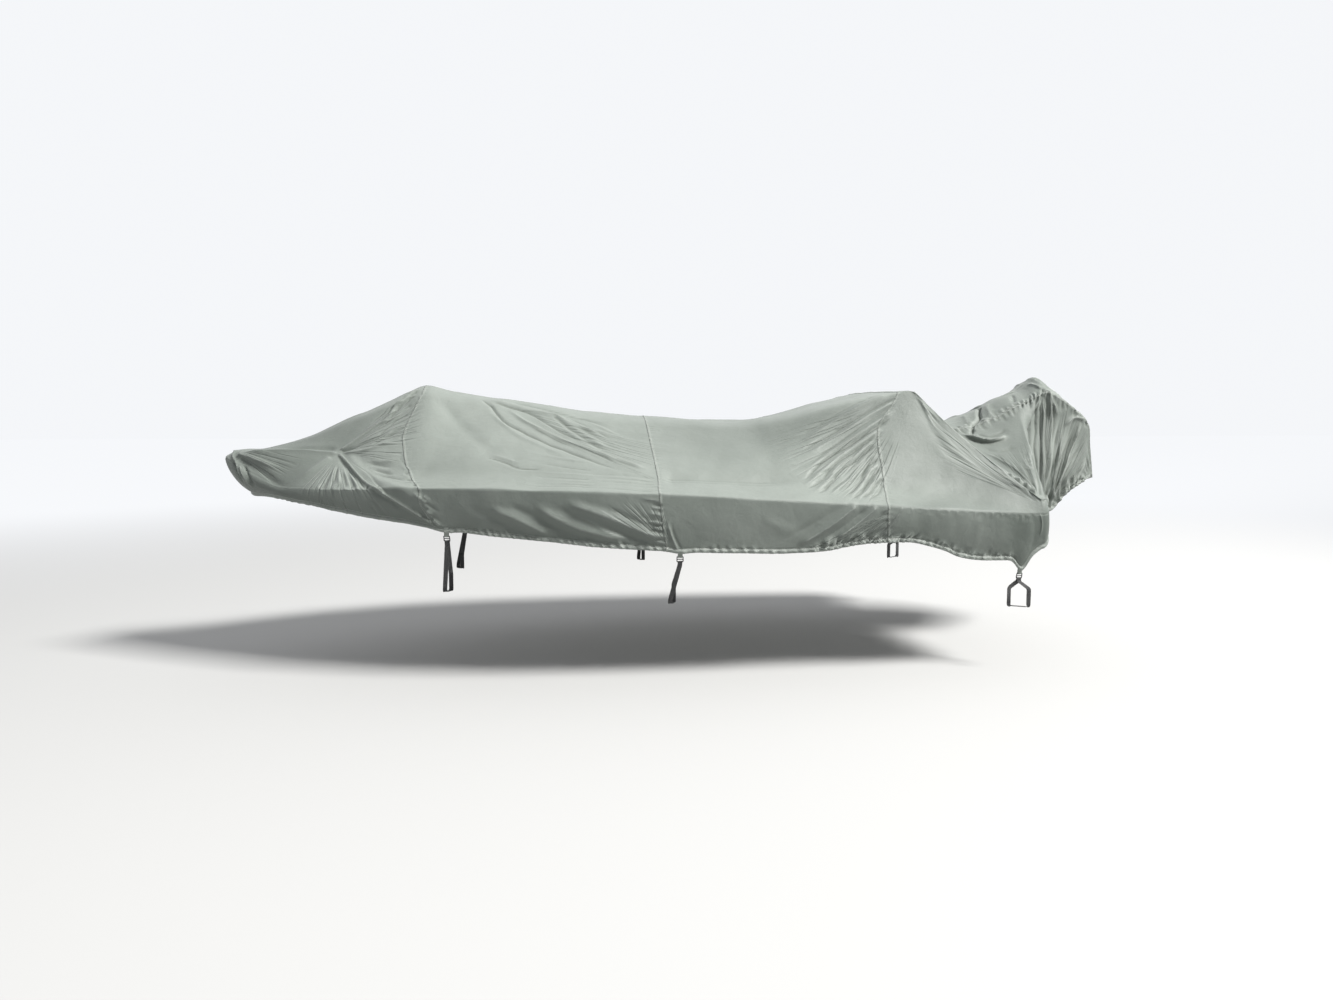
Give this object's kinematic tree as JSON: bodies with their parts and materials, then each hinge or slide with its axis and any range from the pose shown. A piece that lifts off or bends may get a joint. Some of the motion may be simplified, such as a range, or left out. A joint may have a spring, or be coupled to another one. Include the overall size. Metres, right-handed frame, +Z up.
{
  "type": "boat cover",
  "caption": "Fitted trailering boat cover of coated grey-green cloth, hollow underneath, with a drawn-in hem, a hood over the outboard motor and webbing tie-downs",
  "frame": {"origin": "against the inside of the cover, on the centre line under the ridge where it dips lowest", "axes": "+X from bow to stern, +Y to starboard, +Z up"},
  "size_m": [5.4607, 2.0034, 1.3307],
  "materials": {
    "cover_cloth": "satin coated polyester, plain weave",
    "webbing": "woven strap",
    "buckle_plastic": "moulded, satin"
  },
  "bodies": {
    "root": {"bow_panel": "cover_cloth", "forward_panel": "cover_cloth", "centre_panel": "cover_cloth", "stern_panel": "cover_cloth", "hood_side_port": "cover_cloth", "hood_side_starboard": "cover_cloth", "hood_top_strip": "cover_cloth", "hem_loop_bow_port": "cover_cloth", "hem_loop_bow_starboard": "cover_cloth", "hem_loop_mid_port": "cover_cloth", "hem_loop_mid_starboard": "cover_cloth", "hem_loop_stern_port": "cover_cloth", "hem_loop_stern_starboard": "cover_cloth", "buckle_bow_port": "buckle_plastic", "buckle_bow_starboard": "buckle_plastic", "buckle_mid_port": "buckle_plastic", "buckle_mid_starboard": "buckle_plastic", "buckle_stern_port": "buckle_plastic", "buckle_stern_starboard": "buckle_plastic", "tie_strap_bow_port": "webbing", "tie_strap_bow_starboard": "webbing", "tie_strap_mid_port": "webbing", "tie_strap_mid_starboard": "webbing", "tie_strap_stern_port": "webbing", "tie_strap_stern_starboard": "webbing"}
  },
  "joints": []
}
